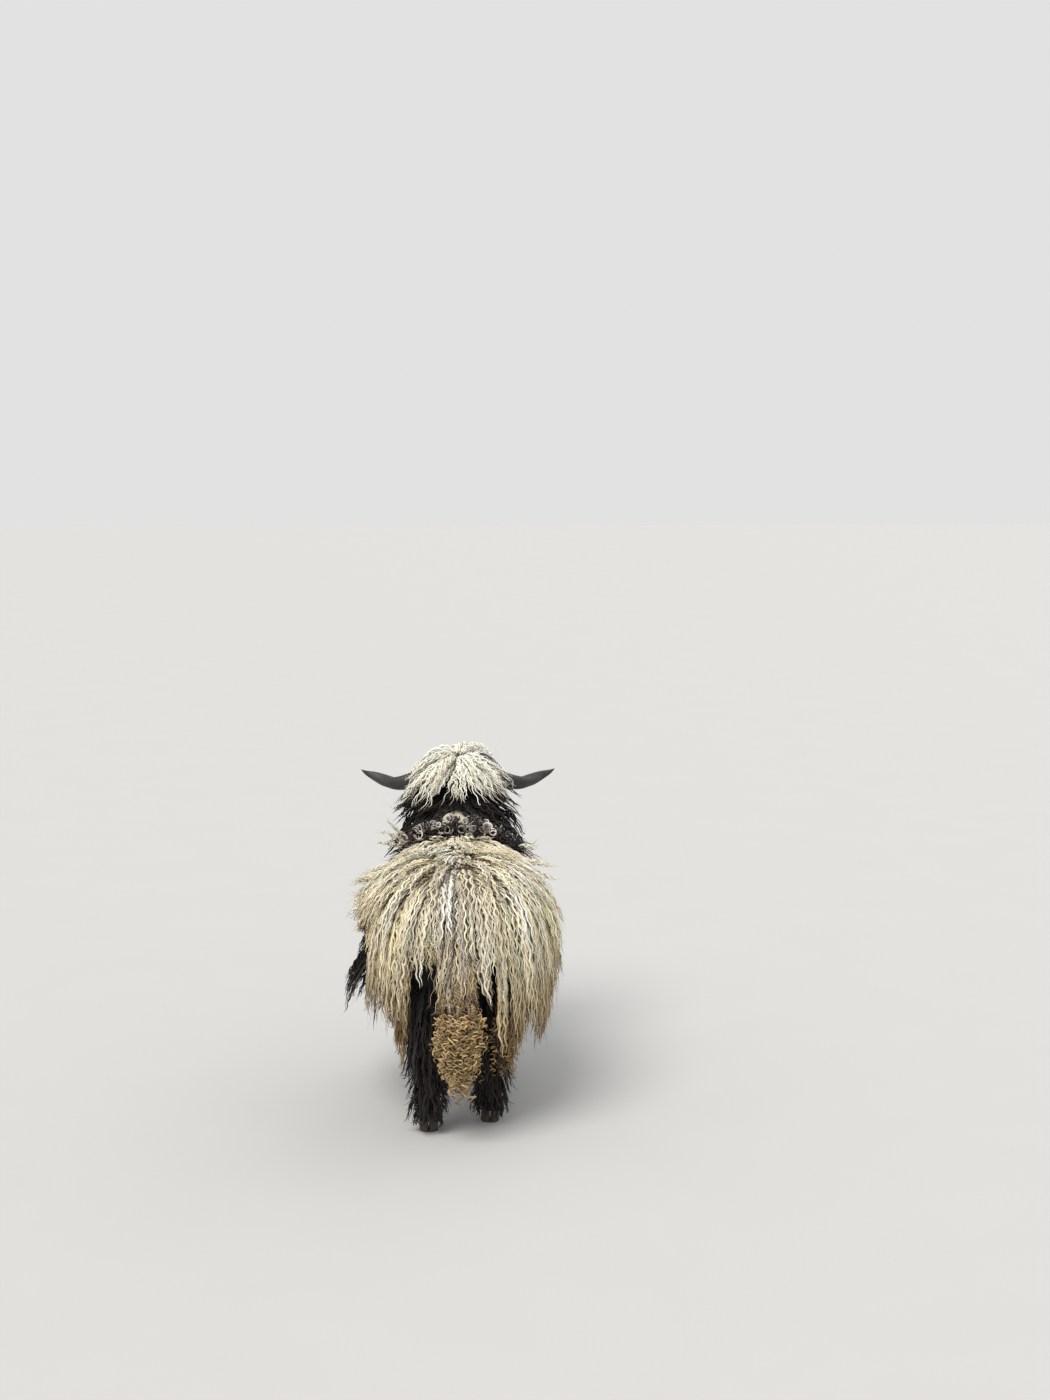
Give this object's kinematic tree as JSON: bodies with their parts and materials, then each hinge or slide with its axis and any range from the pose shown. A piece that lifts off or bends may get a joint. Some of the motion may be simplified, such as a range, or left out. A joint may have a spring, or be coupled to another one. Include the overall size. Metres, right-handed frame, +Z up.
{
  "type": "valais blacknose sheep",
  "caption": "Life-size standing horned mountain sheep with a long parted fleece of wavy locks, black head and legs, and a pale topknot.",
  "frame": {"origin": "on the ground plane, under the middle of the whole animal's bounding box", "axes": "+Z up; the sheep faces -Y and its left side is +X"},
  "size_m": [0.6946, 1.3582, 1.0575],
  "materials": {
    "fleece": "long wavy wool",
    "black_wool": "dense black wool",
    "tail_wool": "curled tan wool",
    "horn": "ridged dark horn",
    "eye": "moist eye",
    "hoof": "worn dark hoof"
  },
  "bodies": {
    "root": {"ear_left": "black_wool", "ear_right": "black_wool", "eye_left": "eye", "eye_right": "eye", "head": "black_wool", "hoof_front_left_inner": "hoof", "hoof_front_left_outer": "hoof", "hoof_front_right_inner": "hoof", "hoof_front_right_outer": "hoof", "hoof_hind_left_inner": "hoof", "hoof_hind_left_outer": "hoof", "hoof_hind_right_inner": "hoof", "hoof_hind_right_outer": "hoof", "horn_left": "horn", "horn_right": "horn", "leg_front_left": "black_wool", "leg_front_right": "black_wool", "leg_hind_left": "black_wool", "leg_hind_right": "black_wool", "neck": "black_wool", "tail": "tail_wool", "torso": "fleece"}
  },
  "joints": []
}
